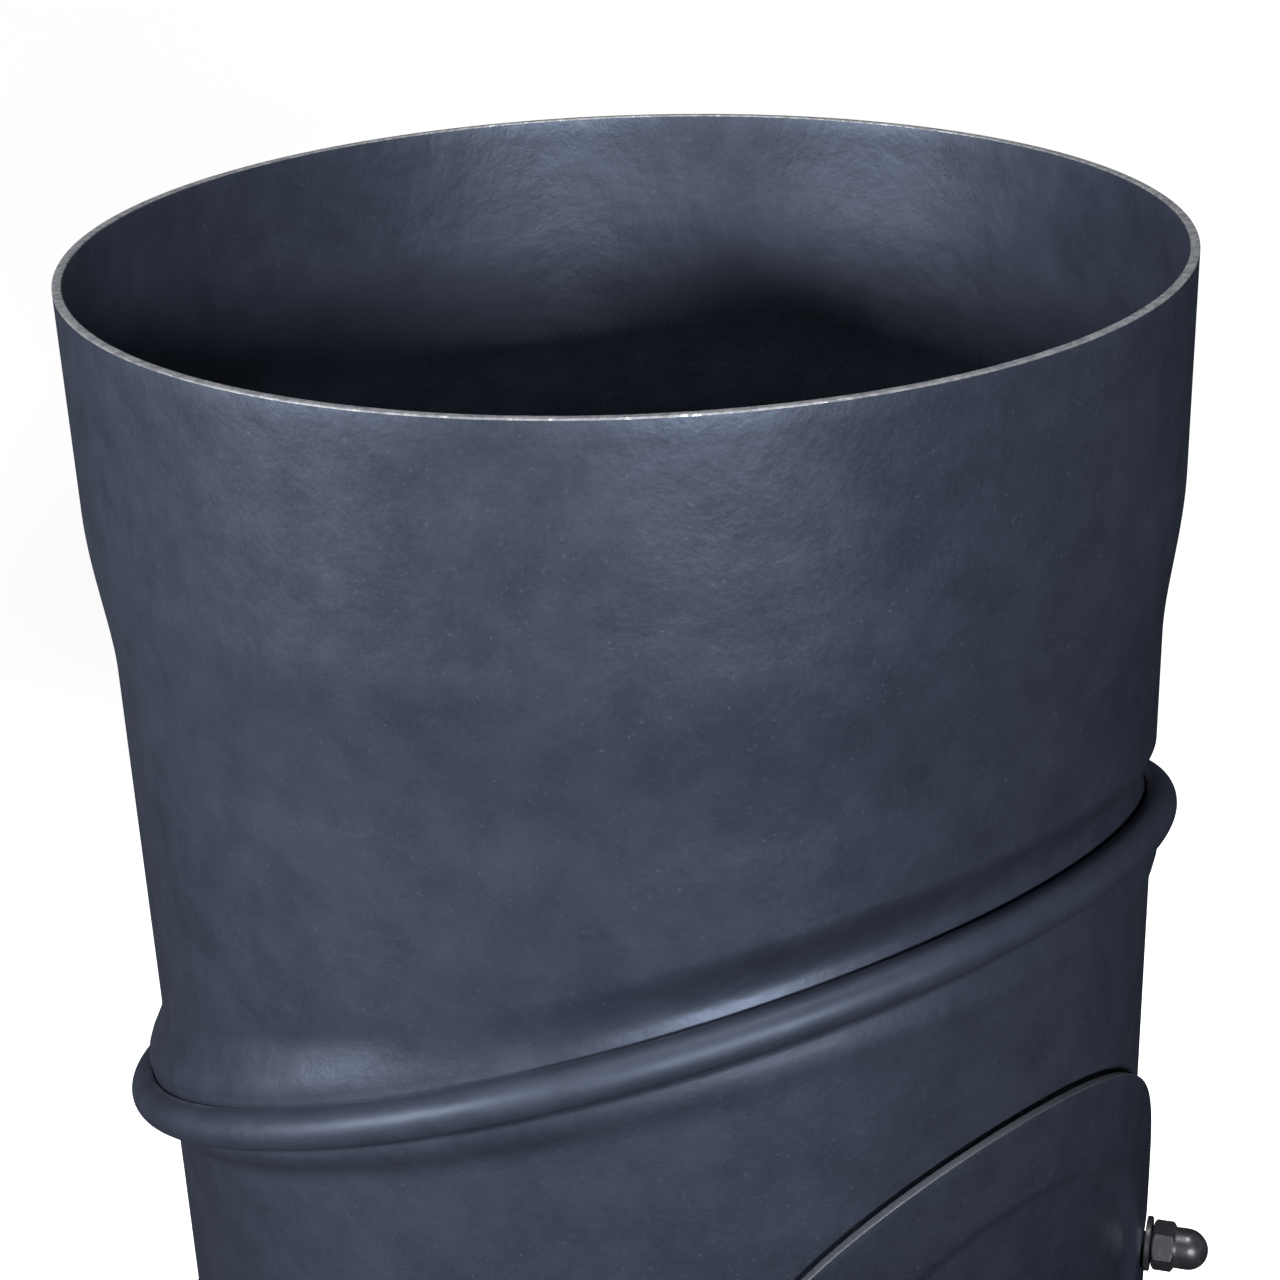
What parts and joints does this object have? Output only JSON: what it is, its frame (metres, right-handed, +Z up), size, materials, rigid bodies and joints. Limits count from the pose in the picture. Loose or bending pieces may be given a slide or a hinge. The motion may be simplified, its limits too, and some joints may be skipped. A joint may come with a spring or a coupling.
{
  "type": "adjustable flue elbow",
  "caption": "Adjustable sheet-steel flue elbow of swivelling mitred segments, with a socket, a plain end and a cleaning door.",
  "frame": {"origin": "centre of the bottom (plain) end, on the surface that the elbow stands on", "axes": "+Z up along the pipe when the elbow is straight, -Y out of the cleaning door, +X to the right of the door as seen from inside the pipe"},
  "size_m": [0.1972, 0.1856, 0.362],
  "materials": {
    "heat_paint": "matt heat-resistant paint, anthracite",
    "gasket_fibre": "pressed glass fibre",
    "black_steel": "blackened steel, satin"
  },
  "bodies": {
    "lower": {"lower_segment": "heat_paint"},
    "middle": {"middle_segment": "heat_paint", "door_gasket": "gasket_fibre", "stud_left": "black_steel", "stud_right": "black_steel"},
    "upper": {"upper_segment": "heat_paint"},
    "door": {"cleaning_door": "heat_paint"},
    "left_nut": {"washer_left": "black_steel", "cap_nut_left": "black_steel"},
    "right_nut": {"washer_right": "black_steel", "cap_nut_right": "black_steel"}
  },
  "joints": [
    {"name": "lower_swivel", "type": "hinge", "parent": "lower", "child": "middle", "pos_m": [0, 0, 0.12], "axis": [0, -0.3827, 0.9239], "continuous": true},
    {"name": "upper_swivel", "type": "hinge", "parent": "middle", "child": "upper", "pos_m": [0, 0, 0.232], "axis": [0, 0.3827, 0.9239], "continuous": true},
    {"name": "door_lift", "type": "slide", "parent": "middle", "child": "door", "axis": [0, -1, 0], "range_m": [0, 0.06]},
    {"name": "left_nut_off", "type": "slide", "parent": "middle", "child": "left_nut", "axis": [-0.5479, -0.8366, 0], "range_m": [0, 0.078]},
    {"name": "right_nut_off", "type": "slide", "parent": "middle", "child": "right_nut", "axis": [0.5479, -0.8366, 0], "range_m": [0, 0.078]}
  ],
  "couplings": [
    {"joint": "left_nut_off", "follows": "door_lift", "ratio": 1.3},
    {"joint": "right_nut_off", "follows": "door_lift", "ratio": 1.3}
  ]
}
